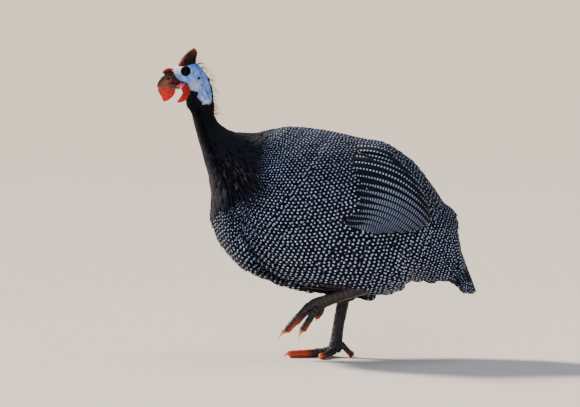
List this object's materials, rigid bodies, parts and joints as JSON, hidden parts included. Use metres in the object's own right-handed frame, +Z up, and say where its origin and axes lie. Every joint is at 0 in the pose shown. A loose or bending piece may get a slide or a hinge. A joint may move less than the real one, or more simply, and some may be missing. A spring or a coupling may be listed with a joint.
{
  "type": "helmeted guinea fowl",
  "caption": "Life-size still model of a helmeted guinea fowl walking: one foot on the floor, the other carried forward, spotted plumage, bare blue head, horny casque and red wattles.",
  "frame": {"origin": "centre of the bounding box's underside, on the floor between the ends of the bill and the tail", "axes": "+X towards the tail, the bird faces -X; +Y towards the bird's right side; +Z up"},
  "size_m": [0.4602, 0.1836, 0.4504],
  "materials": {
    "bare_skin": "bare bluish-white wrinkled skin, satin",
    "casque_horn": "reddish-brown horn, matte with fine ridges",
    "bill_horn": "horn, smooth with a soft gloss",
    "wattle_skin": "bare red fleshy skin, satin",
    "eyeball": "wet dark brown, glossy",
    "collar_feathers": "short dark grey-violet feathers without spots",
    "spotted_feathers": "black feathers with round white spots",
    "flight_feathers": "black vanes with rows of white spots and fine white bars",
    "leg_scales": "dark grey-brown scutes, satin, orange below the toes",
    "claw_horn": "pale orange horn, smooth"
  },
  "bodies": {
    "root": {"head": "bare_skin", "casque": "casque_horn", "bill_upper": "bill_horn", "bill_lower": "bill_horn", "wattle_left": "wattle_skin", "wattle_right": "wattle_skin", "eye_left": "eyeball", "eye_right": "eyeball", "neck": "collar_feathers", "torso": "spotted_feathers", "tail": "spotted_feathers", "wing_left": "flight_feathers", "wing_right": "flight_feathers", "thigh_left": "spotted_feathers", "thigh_right": "spotted_feathers", "shank_left": "leg_scales", "shank_right": "leg_scales", "toe_left_inner": "leg_scales", "toe_left_middle": "leg_scales", "toe_left_outer": "leg_scales", "toe_left_hind": "leg_scales", "toe_right_inner": "leg_scales", "toe_right_middle": "leg_scales", "toe_right_outer": "leg_scales", "toe_right_hind": "leg_scales", "claw_left_inner": "claw_horn", "claw_left_middle": "claw_horn", "claw_left_outer": "claw_horn", "claw_left_hind": "claw_horn", "claw_right_inner": "claw_horn", "claw_right_middle": "claw_horn", "claw_right_outer": "claw_horn", "claw_right_hind": "claw_horn"}
  },
  "joints": []
}
